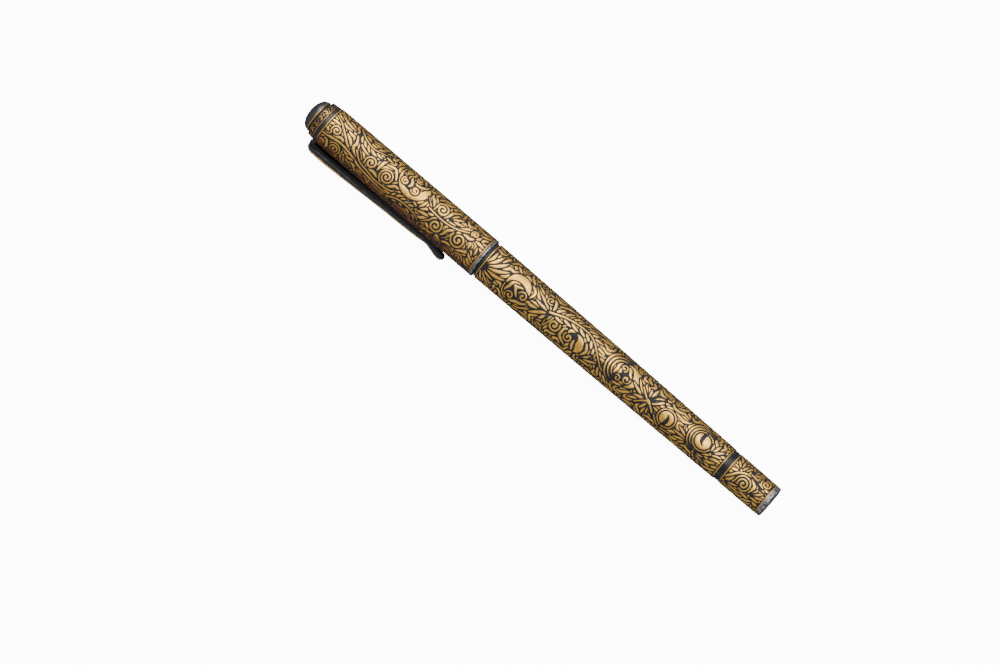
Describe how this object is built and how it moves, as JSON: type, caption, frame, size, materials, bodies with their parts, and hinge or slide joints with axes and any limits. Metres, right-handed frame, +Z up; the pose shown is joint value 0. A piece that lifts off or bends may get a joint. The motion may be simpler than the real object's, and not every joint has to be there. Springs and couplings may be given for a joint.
{
  "type": "dip pen holder",
  "caption": "Slim engraved pen holder with a pull-off clip cap and a tail knob that winds the steel nib in and out of its mouth.",
  "frame": {"origin": "centre of the flat face at the tail of the knob, on the pen's axis", "axes": "+X along the pen's axis from the tail to the crown of the cap; +Z up as the pen lies on a desk; the pocket clip is on the +Y side, 24 degrees below level"},
  "size_m": [0.142, 0.0134, 0.0106],
  "materials": {
    "gilt_engraved": "engraved, gold scrolls on a blue-black ground",
    "crown_gilt": "chased, gold on black",
    "worn_silver": "worn silver plate",
    "black_steel": "gloss black lacquer, rubbed grey at the edges",
    "hard_rubber": "polished black hard rubber",
    "drive_brass": "drawn tube, satin",
    "drive_steel": "ground",
    "nib_steel": "polished spring steel"
  },
  "bodies": {
    "holder": {"barrel_sleeve": "gilt_engraved", "barrel_tube": "hard_rubber", "rear_bush": "black_steel", "grip_section": "hard_rubber", "mouth_ring": "worn_silver", "cap_grip_ring": "drive_brass"},
    "knob": {"knob_end_disc": "worn_silver", "knob_sleeve": "gilt_engraved", "knob_core": "hard_rubber", "knob_front_ring": "black_steel", "drive_shaft": "drive_steel", "knob_pin": "drive_steel", "spiral_tube": "drive_brass"},
    "carrier": {"carrier_rod": "hard_rubber", "drive_pin": "drive_steel", "nib_ferrule": "drive_brass", "nib_clamp": "drive_brass", "nib": "nib_steel"},
    "cap": {"cap_lip_ring": "worn_silver", "cap_sleeve": "gilt_engraved", "cap_tube": "hard_rubber", "crown_ring": "crown_gilt", "crown_dome": "black_steel", "crown_stud": "drive_steel", "clip_washer": "black_steel"},
    "clip": {"clip_blade": "black_steel"}
  },
  "joints": [
    {"name": "knob_turn", "type": "hinge", "parent": "holder", "child": "knob", "pos_m": [0.0137, 0, 0], "axis": [1, 0, 0], "range_deg": [0, 540]},
    {"name": "nib_slide", "type": "slide", "parent": "holder", "child": "carrier", "axis": [1, 0, 0], "range_m": [0, 0.024]},
    {"name": "cap_pull", "type": "slide", "parent": "holder", "child": "cap", "axis": [1, 0, 0], "range_m": [0, 0.05]},
    {"name": "clip_flex", "type": "hinge", "parent": "cap", "child": "clip", "pos_m": [0.13705, 0.00566, -0.00252], "axis": [0, -0.4067, -0.9135], "range_deg": [0, 4], "stiffness_Nm_per_rad": 0.5}
  ],
  "couplings": [
    {"joint": "knob_turn", "follows": "nib_slide", "rad_per_m": 392.7}
  ]
}
